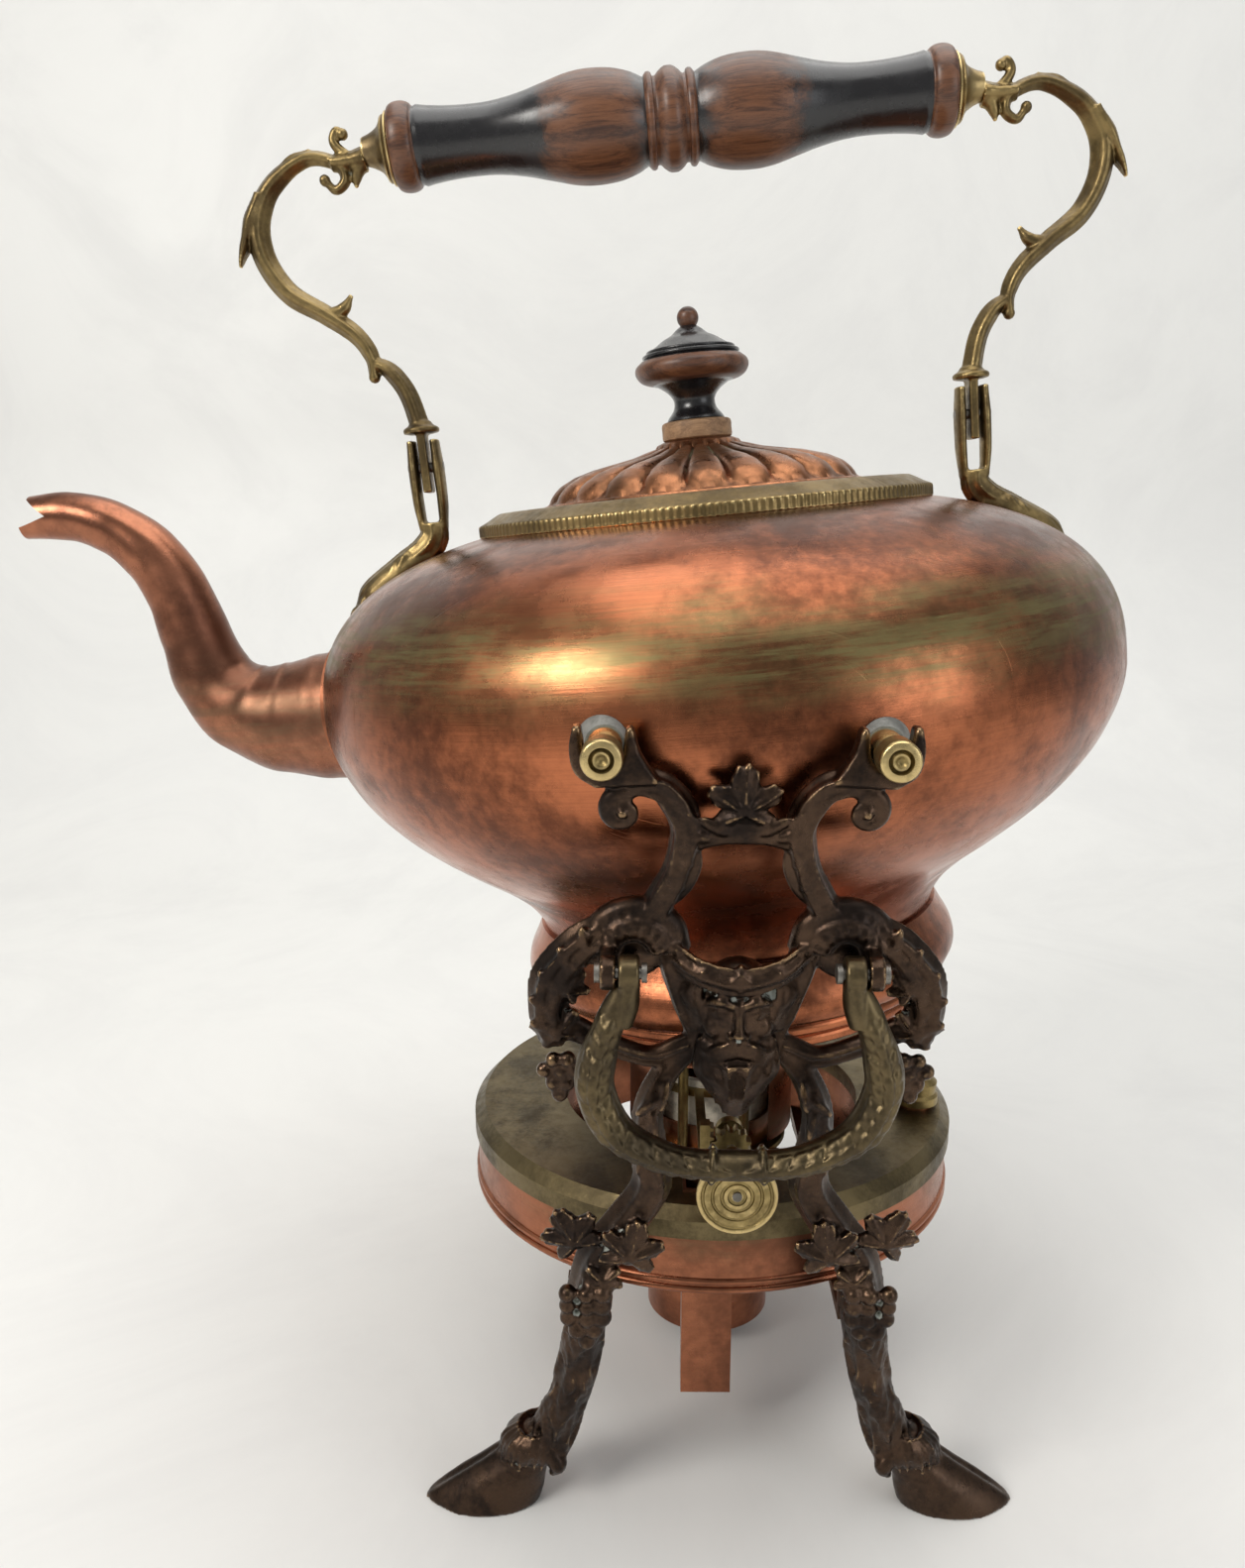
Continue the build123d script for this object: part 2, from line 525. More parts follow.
with BuildPart() as hinge_pins:
    with Locations(hinge_line, Location((-HINGE_X, 0, HINGE_HEIGHT), (0, 90, 0))):
        Cylinder(HINGE_PIN_RADIUS, FORK_WIDTH)
save(KETTLE_POSE * hinge_pins.part, "hinge_pins")

# Scrolled arm: tongue, flared foot, two S curves, spur leaf, thorn and volutes.
flare_foot = HINGE_HEIGHT + FORK_TOP + FLARE_GAP
arm_pieces = [
    limb([(15.4, 0, 130.4), (13.0, 0, 127.8), (10.2, 0, 130.2), (12.0, 0, 133.9), (19.6, 0, 135.5),
          (28.6, 0, 130.2), (33.0, 0, 122.6), (32.8, 0, 114.2), (28.1, 0, 105.9), (20.0, 0, 100.2),
          (13.2, 0, 94.8), (10.0, 0, 89.4), (9.9, 0, 84.6)],
         [0.9, 1.3, 1.6, 1.9, 2.3, ARM_RADIUS, 2.6, 2.6, ARM_RADIUS, 2.3, 2.2, 2.0, 1.4]),
    ball((15.4, 0, 130.4), 1.3),
    ball((9.9, 0, 84.4), 1.5),
    limb([(9.2, 0, 87.6), (5.2, 0, 84.8), (2.0, 0, 79.4), (0, 0, flare_foot + 1.6)],
         [1.6, 2.2, 2.3, 2.4]),
    limb([(5.2, 0, GRIP_HEIGHT - 1.4), (9.0, 0, 133.9), (13.0, 0, 133.9)], [2.9, 2.2, 1.9]),
    limb([(7.2, 0, 133.4), (10.0, 0, 135.8), (12.0, 0, 138.6), (11.0, 0, 140.9), (9.5, 0, 140.2)],
         [1.6, 1.4, 1.2, 1.1, 0.9]),
    ball((9.5, 0, 140.0), 1.4),
    limb([(6.6, 0, 132.6), (7.6, 0, 130.0), (7.9, 0, 127.9)], [2.0, 1.3, 0.5]),
    limb([(31.1, 0, 126.0), (35.2, 0, 119.6), (39.0, 0, 113.0)], [2.0, 1.9, 0.5]),
    limb([(19.2, 0, 99.4), (15.2, 0, 101.0), (12.8, 0, 104.0)], [2.1, 1.6, 0.6]),
]
with BuildPart() as arm:
    add([Location((HINGE_X, 0, 0)) * piece for piece in arm_pieces])
    with Locations(Location((HINGE_X, 0, flare_foot + 1.4))):
        Cone(FLARE_RADIUS, 2.4, 2.8)
    with BuildSketch(Plane.XZ):
        with BuildLine():
            tongue_half = FORK_SLOT / 2 - TONGUE_GAP
            Polyline((HINGE_X - tongue_half, flare_foot + 1), (HINGE_X + tongue_half, flare_foot + 1),
                     (HINGE_X + tongue_half, HINGE_HEIGHT), (HINGE_X + tongue_half / 2, HINGE_HEIGHT - TONGUE_TAIL),
                     (HINGE_X - tongue_half / 2, HINGE_HEIGHT - TONGUE_TAIL), (HINGE_X - tongue_half, HINGE_HEIGHT),
                     close=True)
        make_face()
    extrude(amount=FORK_DEPTH / 2 - 0.5, both=True)
    with Locations(hinge_line):
        Cylinder(HINGE_PIN_RADIUS + RUNNING_FIT, 2 * FORK_WIDTH, mode=Mode.SUBTRACT)
save(KETTLE_POSE * arm.part, "arm_right")
save(KETTLE_POSE * mirror(arm.part, about=Plane.YZ), "arm_left")

# Turned ferrule between each arm and the wooden grip.
rod_end = GRIP_HALF_LENGTH + FERRULE_LENGTH / 2
with BuildPart() as ferrule:
    with BuildSketch(Plane.XZ):
        with BuildLine():
            flank = Spline((GRIP_HALF_LENGTH + 1.0, GRIP_HEIGHT + FERRULE_RADIUS - 0.6),
                           (GRIP_HALF_LENGTH + 3.6, GRIP_HEIGHT + FERRULE_NECK + 1.7),
                           (GRIP_HALF_LENGTH + FERRULE_LENGTH, GRIP_HEIGHT + FERRULE_NECK))
            Polyline(flank @ 1, (GRIP_HALF_LENGTH + FERRULE_LENGTH, GRIP_HEIGHT), (rod_end, GRIP_HEIGHT),
                     (rod_end, GRIP_HEIGHT + TIE_ROD_RADIUS), (GRIP_HALF_LENGTH, GRIP_HEIGHT + TIE_ROD_RADIUS),
                     (GRIP_HALF_LENGTH, GRIP_HEIGHT + FERRULE_RADIUS), flank @ 0)
        make_face()
    revolve(axis=Axis((0, 0, GRIP_HEIGHT), (1, 0, 0)))
    add(arm.part, mode=Mode.SUBTRACT)
save(KETTLE_POSE * ferrule.part, "ferrule_right")
save(KETTLE_POSE * mirror(ferrule.part, about=Plane.YZ), "ferrule_left")

# Turned grip: middle bead, two long bulbs, coves and end rings, bored for the tie rod.
with BuildPart() as grip:
    with BuildSketch(Plane.XZ):
        with BuildLine():
            ring_in = GRIP_HALF_LENGTH - 5.6
            bead = ThreePointArc((0, GRIP_HEIGHT + GRIP_BEAD_RADIUS), (2.0, GRIP_HEIGHT + GRIP_BEAD_RADIUS - 0.6),
                                 (3.2, GRIP_HEIGHT + GRIP_BEAD_RADIUS - 1.8))
            Polyline(bead @ 1, (4.0, GRIP_HEIGHT + GRIP_BEAD_RADIUS - 1.8), (4.3, GRIP_HEIGHT + GRIP_BEAD_RADIUS - 0.9),
                     (5.6, GRIP_HEIGHT + GRIP_BEAD_RADIUS - 0.9), (6.2, GRIP_HEIGHT + GRIP_BEAD_RADIUS - 1.9))
            swell = Spline((6.2, GRIP_HEIGHT + GRIP_BEAD_RADIUS - 1.9), (13.5, GRIP_HEIGHT + GRIP_BULB_RADIUS - 0.5),
                           (22.0, GRIP_HEIGHT + GRIP_BULB_RADIUS - 0.3), (36.0, GRIP_HEIGHT + GRIP_COVE_RADIUS + 1.2),
                           (47.0, GRIP_HEIGHT + GRIP_COVE_RADIUS), (ring_in - 1.6, GRIP_HEIGHT + GRIP_RING_RADIUS - 1.2))
            Polyline(swell @ 1, (ring_in - 0.4, GRIP_HEIGHT + GRIP_RING_RADIUS - 1.4),
                     (ring_in, GRIP_HEIGHT + GRIP_RING_RADIUS - 0.7))
            end_ring = ThreePointArc((ring_in, GRIP_HEIGHT + GRIP_RING_RADIUS - 0.7),
                                     ((ring_in + GRIP_HALF_LENGTH) / 2, GRIP_HEIGHT + GRIP_RING_RADIUS),
                                     (GRIP_HALF_LENGTH, GRIP_HEIGHT + GRIP_RING_RADIUS - 1.0))
            Polyline(end_ring @ 1, (GRIP_HALF_LENGTH, GRIP_HEIGHT + TIE_ROD_RADIUS),
                     (0, GRIP_HEIGHT + TIE_ROD_RADIUS), bead @ 0)
        make_face()
    revolve(axis=Axis((0, 0, GRIP_HEIGHT), (1, 0, 0)))
    mirror(about=Plane.YZ)
save(KETTLE_POSE * grip.part, "grip")

with BuildPart() as tie_rod:
    with Locations(Location((0, 0, GRIP_HEIGHT), (0, 90, 0))):
        Cylinder(TIE_ROD_RADIUS, 2 * rod_end)
save(KETTLE_POSE * tie_rod.part, "tie_rod")

# ================================ Support pins ===================================
leaning_envelope = KETTLE_POSE * body_envelope
pin_places = [(side * PIN_X, end) for side in (-1, 1) for end in (-1, 1)]
with BuildPart() as support_pins:
    for pin_x, end in pin_places:
        with Locations(Location((pin_x, end * PIN_END_Y / 2, PIN_HEIGHT), (90, 0, 0))):
            Cylinder(PIN_RADIUS, PIN_END_Y)
        with Locations(Location((pin_x, end * (PIN_END_Y - PIN_HEAD_LENGTH / 2), PIN_HEIGHT), (90, 0, 0))):
            Cylinder(PIN_HEAD_RADIUS, PIN_HEAD_LENGTH)
        with Locations(Location((pin_x, end * PIN_END_Y, PIN_HEIGHT), (90, 0, 0))):
            Cylinder(PIN_HEAD_RADIUS / 2, 1.6, mode=Mode.SUBTRACT)
    add(leaning_envelope, mode=Mode.SUBTRACT)
save(support_pins.part, "support_pins")

root_y = sqrt(BODY_RADIUS ** 2 - PIN_X ** 2)
with BuildPart() as pin_bosses:
    for pin_x, end in pin_places:
        with Locations(Location((pin_x, end * (root_y + PIN_BOSS_HEIGHT / 2 - 1), PIN_HEIGHT), (end * 90, 0, 0))):
            Cone(PIN_RADIUS + 0.5, PIN_BOSS_RADIUS, PIN_BOSS_HEIGHT + 2)
    add(leaning_envelope, mode=Mode.SUBTRACT)
    add(support_pins.part, mode=Mode.SUBTRACT)
save(pin_bosses.part, "pin_bosses")

# ================================ Side frames ====================================
def cast(x, height, out=0.0):
    """A point of the upright casting, from its height above the table and its stand-off in front."""
    return (x, -out, height / cos(radians(FRAME_LEAN)))


def cast_limb(points, radii):
    """A limb of the casting through (x, height, stand-off) points."""
    return limb([cast(*point) for point in points], radii)


def both_sides(piece):
    """The piece and its mirror image across the middle of the frame."""
    return [piece, mirror(piece, about=Plane.YZ)]


def vine_leaf(place, size, turn=0.0, thickness=LEAF_THICKNESS):
    """A five-lobed vine leaf lying on the front of the casting."""
    lobes = [(0, 1.25), (28, 0.62), (58, 1.08), (92, 0.6), (124, 0.98), (158, 0.42)]
    right = [(size * reach * sin(radians(angle)), size * reach * cos(radians(angle))) for angle, reach in lobes]
    left = [(-x, z) for x, z in reversed(right[1:])]
    with BuildPart() as leaf:
        with BuildSketch(Plane(origin=place, x_dir=(1, 0, 0), z_dir=(0, -1, 0)).rotated((0, turn, 0))):
            with BuildLine():
                Polyline(*(right + left), close=True)
            make_face()
        extrude(amount=thickness)
    return leaf.part


def grape_bunch(place, rows):
    """A hanging bunch: rows of berries, each row narrower than the one above it."""
    berries = []
    for row, count in enumerate(rows):
        for column in range(count):
            across = (column - (count - 1) / 2) * 1.6 * GRAPE_RADIUS
            berries.append(ball((place[0] + across, place[1] - 0.5 * (row % 2), place[2] - 1.5 * row * GRAPE_RADIUS),
                                GRAPE_RADIUS))
    return berries


half_frame = []
# Upper arm with its volute, then the shell lug and the strut beside the mask.
half_frame += both_sides(cast_limb([(20.1, 178.6), (23.0, 176.2), (26.4, 178.6), (26.0, 182.6), (20.8, 185.0),
                                    (14.4, 183.0), (10.7, 176.0), (12.3, 167.4), (15.6, 160.4), (17.6, 156.8)],
                                   [1.0, 1.5, 1.9, 2.2, 2.6, 2.8, 2.6, 2.4, 2.6, 2.8]))
half_frame += both_sides(ball(cast(22.9, 179.6), 2.2))
half_frame += both_sides(cast_limb([(11.6, 150.0), (13.6, 155.6), (17.8, 158.2), (22.2, 158.4), (26.2, 156.2),
                                    (28.2, 152.2), (27.8, 147.6)], [2.6, 2.9, 3.0, 3.0, 2.9, 2.8, 2.4]))
half_frame += both_sides(cast_limb([(13.8, 153.4), (12.4, 146.4), (10.0, 138.6), (7.6, 131.4)],
                                   [2.8, 2.8, 2.6, 2.4]))
# Side branch, its leaf and grapes, the cross branch and the limb that runs down to the hoof.
half_frame += both_sides(cast_limb([(26.4, 155.0), (32.0, 150.0), (36.8, 143.6), (38.0, 136.0), (36.6, 129.0)],
                                   [3.0, 3.6, 3.8, 3.6, 3.0]))
half_frame += both_sides(vine_leaf(cast(37.0, 130.5, 1.0), 6.0, 15))
half_frame += both_sides(cast_limb([(6.0, 130.0), (10.4, 128.2), (16.6, 125.6), (24.0, 128.0), (33.0, 132.6)],
                                   [2.6, 2.6, 2.3, 2.4, 2.8]))
half_frame += both_sides(cast_limb([(7.6, 129.4), (14.2, 121.4), (17.6, 111.8), (17.2, 101.0), (17.0, 92.8),
                                    (22.4, 83.0), (28.2, 74.0), (31.0, 62.6), (31.9, 52.6), (33.6, 42.6),
                                    (36.4, 32.0), (39.4, 22.0), (42.6, 14.4)],
                                   [2.4, 2.7, 3.0, 3.6, 4.4, 4.8, 5.4, 5.0, 4.4, 4.1, 4.2, 4.4, 5.0]))
half_frame += both_sides(vine_leaf(cast(22.4, 77.0, 3.4), 6.4, -12))
half_frame += both_sides(vine_leaf(cast(33.0, 80.6, 2.2), 5.6, 24))
half_frame += both_sides(ball(cast(38.4, 16.6), 3.4))
for berry in grape_bunch(cast(31.6, 66.0, 3.6), (2, 3, 2, 1)) + grape_bunch(cast(35.6, 125.0, 2.4), (3, 2)):
    half_frame += both_sides(berry)

# Open-topped hook that the support pin rests in.
seat_radius = PIN_RADIUS + RUNNING_FIT
pin_line = PIN_HEIGHT / cos(radians(FRAME_LEAN))
tip_line = pin_line + HOOK_PRONG
with BuildPart() as hook:
    with BuildSketch(Plane.XZ):
        with BuildLine():
            Line((PIN_X + seat_radius + 2.3, tip_line), (PIN_X - seat_radius - 2.0, tip_line))
            Spline((PIN_X - seat_radius - 2.0, tip_line), (PIN_X - seat_radius - 3.4, pin_line - 0.6),
                   (PIN_X - 10.5, pin_line - 6.4))
            Line((PIN_X - 10.5, pin_line - 6.4), (PIN_X + 3.0, pin_line - 9.6))
            Spline((PIN_X + 3.0, pin_line - 9.6), (PIN_X + seat_radius + 3.0, pin_line - 5.6),
                   (PIN_X + seat_radius + 3.6, pin_line), (PIN_X + seat_radius + 2.3, tip_line))
        make_face()
    extrude(amount=HOOK_THICKNESS / 2, both=True)
half_frame += both_sides(hook.part)

# Shell tab with the cross hole for the drop ring's pin.
pivot = cast(LUG_X, RING_PIVOT_HEIGHT, RING_PIVOT_OUT)
with BuildPart() as lug:
    with BuildSketch(Plane.YZ.offset(LUG_X - LUG_THICKNESS / 2)):
        with Locations((pivot[1] + LUG_REACH / 2, pivot[2])):
            SlotOverall(LUG_REACH + 2 * RING_EYE_RADIUS, 2 * RING_EYE_RADIUS)
    extrude(amount=LUG_THICKNESS)
half_frame += both_sides(lug.part)

# Pad inside the shin that the stretcher is screwed to.
with BuildPart() as pad:
    with Locations(cast(STRETCHER_X, SCREW_HEIGHT - 1.0, -2.0)):
        Box(STRETCHER_WIDTH, 14, STRETCHER_END_HEIGHT)
half_frame += both_sides(pad.part)

# Middle: crest leaf on its bar, diadem with three stones, and a bearded mask.
middle = [
    cast_limb([(-11.0, 172.6), (0, 174.8), (11.0, 172.6)], [2.0, 2.2, 2.0]),
    vine_leaf(cast(0, CREST_HEIGHT, 0.4), CREST_SIZE),
    cast_limb([(-12.4, 149.6), (0, 146.8, 5.4), (12.4, 149.6)], [2.2, 2.4, 2.2]),
    cast_limb([(0, 141.0, 5.0), (0, 136.4, 6.4), (0, 132.2, 7.6)], [0.8, 1.1, 1.6]),
    cast_limb([(-7.0, 139.8, 4.4), (0, 141.0, 6.0), (7.0, 139.8, 4.4)], [0.9, 1.2, 0.9]),
    cast_limb([(-5.4, 126.6, 4.4), (0, 129.4, 6.6), (5.4, 126.6, 4.4)], [0.9, 1.5, 0.9]),
    cast_limb([(0, 127.0, 3.4), (0, 120.0, 4.6), (0, 112.8, 4.6)], [5.6, 4.2, 1.2]),
]
with BuildPart() as mask:
    for height, half_width, depth in ((124.0, 5.4, 4.4), (129.0, 8.0, 5.4), (136.0, 9.8, 6.0), (143.0, 10.2, 5.6),
                                      (148.0, 9.0, 4.4)):
        with BuildSketch(Plane.XY.offset(height / cos(radians(FRAME_LEAN)))):
            Ellipse(half_width, depth)
    loft()
middle.append(mask.part)
with BuildPart() as stones:
    with Locations(cast(0, 147.2, 7.4)):
        Box(4.2, 3.0, 4.2, rotation=(0, 45, 0))
    with Locations(cast(-6.4, 147.6, 5.6), cast(6.4, 147.6, 5.6)):
        Box(2.6, 3.0, 2.6)
middle.append(stones.part)

with BuildPart() as hooves:
    for side in (-1, 1):
        for height, toe, heel, half_width in ((0, HOOF_TOE_X, HOOF_HEEL_X, HOOF_HALF_WIDTH),
                                              (0.45 * HOOF_HEIGHT, HOOF_TOE_X - 4, HOOF_HEEL_X - 1.4, HOOF_HALF_WIDTH),
                                              (HOOF_HEIGHT, HOOF_TOE_X - 17, HOOF_HEEL_X - 3.5, HOOF_HALF_WIDTH - 2)):
            with BuildSketch(Plane.XY.offset(height)):
                with Locations((side * (toe + heel) / 2, -FRAME_FOOT_Y - 1.5)):
                    Ellipse((toe - heel) / 2, half_width)
        loft()

# Cuts made square to the table: pad faces, screw holes, lug holes, hook slots and soles.
with BuildPart() as square_cuts:
    with Locations((0, -PAD_FACE_Y + 15, TANK_FLOOR)):
        Box(4 * STRETCHER_X, 30, 2 * STRETCHER_END_HEIGHT)
    for side in (-1, 1):
        with Locations(Location((side * STRETCHER_X, -PAD_FACE_Y, SCREW_HEIGHT), (90, 0, 0))):
            Cylinder(SCREW_RADIUS, 2 * (SCREW_LENGTH - STRETCHER_THICKNESS))
    with Locations(FRAME_POSE * Location((0, pivot[1], pivot[2]), (0, 90, 0))):
        Cylinder(RING_PIN_RADIUS, 4 * LUG_X)
    with BuildSketch(Plane.XZ.offset(PIN_END_Y - PIN_HEAD_LENGTH)):
        for side in (-1, 1):
            with Locations((side * PIN_X, PIN_HEIGHT)):
                Circle(seat_radius)
                Polygon((-seat_radius, 0), (seat_radius, 0), (seat_radius + HOOK_FLARE, 2 * HOOK_PRONG),
                        (-seat_radius - HOOK_FLARE, 2 * HOOK_PRONG), align=None)
    extrude(amount=2 * HOOK_THICKNESS, both=True)
    with Locations((0, -FRAME_FOOT_Y, -10)):
        Box(4 * HOOF_TOE_X, 60, 20)

with BuildPart() as side_frame:
    add(half_frame + middle)
    add(FRAME_POSE.inverse() * hooves.part)
    add(FRAME_POSE.inverse() * square_cuts.part, mode=Mode.SUBTRACT)
save(FRAME_POSE * side_frame.part, "front_frame")
save(HALF_TURN * (FRAME_POSE * side_frame.part), "back_frame")

# ================================ Drop rings =====================================
ring_pivot = (FRAME_POSE * Location(pivot)).position
lug_face = LUG_X - LUG_THICKNESS / 2
eye_outer = lug_face - RING_EYE_GAP
eye_inner = eye_outer - RING_EYE_THICKNESS
ring_bottom = ring_pivot.Z - RING_DROP
ring_points = [(eye_inner + RING_EYE_THICKNESS / 2, ring_pivot.Z - 1.0)]
for across, down in ((0.88, 0.22), (0.98, 0.42), (1.0, 0.6), (0.85, 0.82), (0.47, 0.965)):
    ring_points.append((RING_HALF_WIDTH * across, ring_pivot.Z - RING_DROP * down))
ring_points.append((0, ring_bottom))
ring_points += [(-x, z) for x, z in reversed(ring_points[:-1])]

with BuildPart() as front_ring:
    add(Location((0, ring_pivot.Y, 0)) * limb([(x, 0, z) for x, z in ring_points],
                                              [2.1, 3.2, RING_SECTION, RING_SECTION, 3.4, 3.2, 3.4, RING_SECTION,
                                               RING_SECTION, 3.2, 2.1]))
    for side in (-1, 1):
        with Locations(Location((side * (eye_inner + eye_outer) / 2, ring_pivot.Y, ring_pivot.Z), (0, 90, 0))):
            Cylinder(RING_EYE_RADIUS, RING_EYE_THICKNESS)
        # Flat outer cheek that clears the lug.
        with Locations((side * (eye_outer + LUG_THICKNESS), ring_pivot.Y, ring_pivot.Z)):
            Box(2 * LUG_THICKNESS, 4 * RING_EYE_RADIUS, 2 * RING_EYE_RADIUS + 1.6, mode=Mode.SUBTRACT)
    with Locations(Location((0, ring_pivot.Y, ring_pivot.Z), (0, 90, 0))):
        Cylinder(RING_PIN_RADIUS + RUNNING_FIT, 4 * LUG_X, mode=Mode.SUBTRACT)
save(front_ring.part, "front_ring")
save(HALF_TURN * front_ring.part, "back_ring")

with BuildPart() as ring_pins:
    for end in (-1, 1):
        for side in (-1, 1):
            inner = eye_inner - RING_EYE_GAP
            outer = LUG_X + LUG_THICKNESS / 2
            for middle_x, radius, length in (((inner + outer) / 2, RING_PIN_RADIUS, outer - inner),
                                             (inner - 0.5, 1.6 * RING_PIN_RADIUS, 1.0),
                                             (outer + 0.5, 1.6 * RING_PIN_RADIUS, 1.0)):
                with Locations(Location((side * middle_x, -end * ring_pivot.Y, ring_pivot.Z), (0, 90, 0))):
                    Cylinder(radius, length)
save(ring_pins.part, "ring_pins")

# ================================ Stretchers =====================================
for side, name in ((-1, "stretcher_left"), (1, "stretcher_right")):
    with BuildPart() as stretcher:
        with Locations((side * STRETCHER_X, 0, TANK_FLOOR - STRETCHER_THICKNESS / 2)):
            Box(STRETCHER_WIDTH, 2 * PAD_FACE_Y, STRETCHER_THICKNESS)
        for end in (-1, 1):
            with Locations((side * STRETCHER_X, end * (PAD_FACE_Y - STRETCHER_THICKNESS / 2),
                            TANK_FLOOR - STRETCHER_THICKNESS + STRETCHER_END_HEIGHT / 2)):
                Box(STRETCHER_WIDTH, STRETCHER_THICKNESS, STRETCHER_END_HEIGHT)
        with Locations(Location((side * STRETCHER_X, 0, SCREW_HEIGHT), (90, 0, 0))):
            Cylinder(SCREW_RADIUS, 4 * PAD_FACE_Y, mode=Mode.SUBTRACT)
    save(stretcher.part, name)

with BuildPart() as stretcher_screws:
    head_face = PAD_FACE_Y - STRETCHER_THICKNESS
    for end in (-1, 1):
        for side in (-1, 1):
            with Locations(Location((side * STRETCHER_X, end * (head_face + SCREW_LENGTH / 2), SCREW_HEIGHT),
                                    (90, 0, 0))):
                Cylinder(SCREW_RADIUS, SCREW_LENGTH)
            with Locations(Location((side * STRETCHER_X, end * (head_face - SCREW_HEAD_HEIGHT / 2), SCREW_HEIGHT),
                                    (90, 0, 0))):
                Cylinder(SCREW_HEAD_RADIUS, SCREW_HEAD_HEIGHT)
            with Locations((side * STRETCHER_X, end * (head_face - SCREW_HEAD_HEIGHT), SCREW_HEIGHT)):
                Box(2 * SCREW_HEAD_RADIUS, SCREW_HEAD_HEIGHT, 0.8, mode=Mode.SUBTRACT)
save(stretcher_screws.part, "stretcher_screws")

# ================================ Burner =========================================
with BuildPart() as rack_slot:
    with Locations((CASING_X, RACK_Y, (CASING_TOP + CASING_BOTTOM) / 2)):
        Box(CASING_WIDTH, CASING_DEPTH, CASING_TOP - CASING_BOTTOM)

filler_place = (FILLER_CIRCLE * cos(radians(FILLER_ANGLE)), FILLER_CIRCLE * sin(radians(FILLER_ANGLE)))
shoulder = TANK_TOP - RIM_BEVEL
with BuildPart() as tank_shell:
    with BuildSketch(Plane.XZ):
        Polygon((TANK_INNER_RADIUS, TANK_FLOOR), (TANK_RADIUS, TANK_FLOOR), (TANK_RADIUS, shoulder),
                (TANK_RADIUS - SHEET, shoulder), (TANK_RADIUS - SHEET, TANK_FLOOR + SHEET),
                (TANK_INNER_RADIUS + SHEET, TANK_FLOOR + SHEET), (TANK_INNER_RADIUS + SHEET, TANK_TOP - SHEET),
                (TANK_INNER_RADIUS, TANK_TOP - SHEET), align=None)
        for bead in (1, 3.4):
            with Locations((TANK_RADIUS - 0.2, TANK_FLOOR + bead * BEAD_RADIUS)):
                Circle(BEAD_RADIUS)
    revolve(axis=Axis.Z)
    add(rack_slot.part, mode=Mode.SUBTRACT)
save(tank_shell.part, "tank_shell")

with BuildPart() as tank_top:
    with BuildSketch(Plane.XZ):
        Polygon((TANK_RADIUS, shoulder - RIM_SKIRT), (TANK_RADIUS + SHEET, shoulder - RIM_SKIRT),
                (TANK_RADIUS + SHEET, shoulder), (TANK_RADIUS + SHEET - RIM_BEVEL, TANK_TOP),
                (TANK_INNER_RADIUS - SHEET, TANK_TOP), (TANK_INNER_RADIUS - SHEET, TANK_TOP - RIM_SKIRT),
                (TANK_INNER_RADIUS, TANK_TOP - RIM_SKIRT), (TANK_INNER_RADIUS, TANK_TOP - SHEET),
                (TANK_RADIUS - RIM_BEVEL + SHEET / 2, TANK_TOP - SHEET), (TANK_RADIUS, shoulder), align=None)
    revolve(axis=Axis.Z)
    add(rack_slot.part, mode=Mode.SUBTRACT)
    with Locations((*filler_place, TANK_TOP)):
        Cylinder(FILLER_RADIUS, 4 * SHEET, mode=Mode.SUBTRACT)
save(tank_top.part, "tank_top")

with BuildPart() as rack_casing:
    add(rack_slot.part)
    with Locations((CASING_X, RACK_Y, (CASING_TOP + CASING_BOTTOM) / 2 + SHEET)):
        Box(CASING_WIDTH - 2 * SHEET, CASING_DEPTH - 2 * SHEET, CASING_TOP - CASING_BOTTOM, mode=Mode.SUBTRACT)
save(rack_casing.part, "rack_casing")


def tube(radius, wall, bottom, top):
    """An upright tube about the middle of the stand."""
    with BuildPart() as piece:
        with BuildSketch(Plane.XY.offset(bottom)):
            Circle(radius)
            Circle(radius - wall, mode=Mode.SUBTRACT)
        extrude(amount=top - bottom)
    return piece.part


with BuildPart() as burner_well:
    add(tube(WELL_RADIUS, SHEET, WELL_FLOOR, WELL_TOP))
    add(tube(WELL_RADIUS, WELL_RADIUS - AIR_TUBE_RADIUS, WELL_FLOOR, WELL_FLOOR + SHEET))
save(burner_well.part, "burner_well")
save(tube(AIR_TUBE_RADIUS, SHEET, WELL_FLOOR, AIR_TUBE_TOP), "air_tube")
save(tube(FLANGE_RADIUS, FLANGE_RADIUS - WELL_RADIUS, FLANGE_HEIGHT, FLANGE_HEIGHT + FLANGE_THICKNESS),
     "burner_flange")

with BuildPart() as feed_tubes:
    for angle in (90, 210, 330):
        with Locations(Rotation(0, 0, angle) * Location((TANK_INNER_RADIUS / 2, 0, FEED_HEIGHT), (0, 90, 0))):
            Cylinder(FEED_RADIUS, TANK_INNER_RADIUS)
            Cylinder(FEED_RADIUS - SHEET, TANK_INNER_RADIUS, mode=Mode.SUBTRACT)
    with Locations((0, 0, FEED_HEIGHT)):
        Cylinder(WELL_RADIUS, 4 * FEED_RADIUS, mode=Mode.SUBTRACT)
        Cylinder(TANK_INNER_RADIUS, 4 * FEED_RADIUS, mode=Mode.INTERSECT)
save(feed_tubes.part, "feed_tubes")

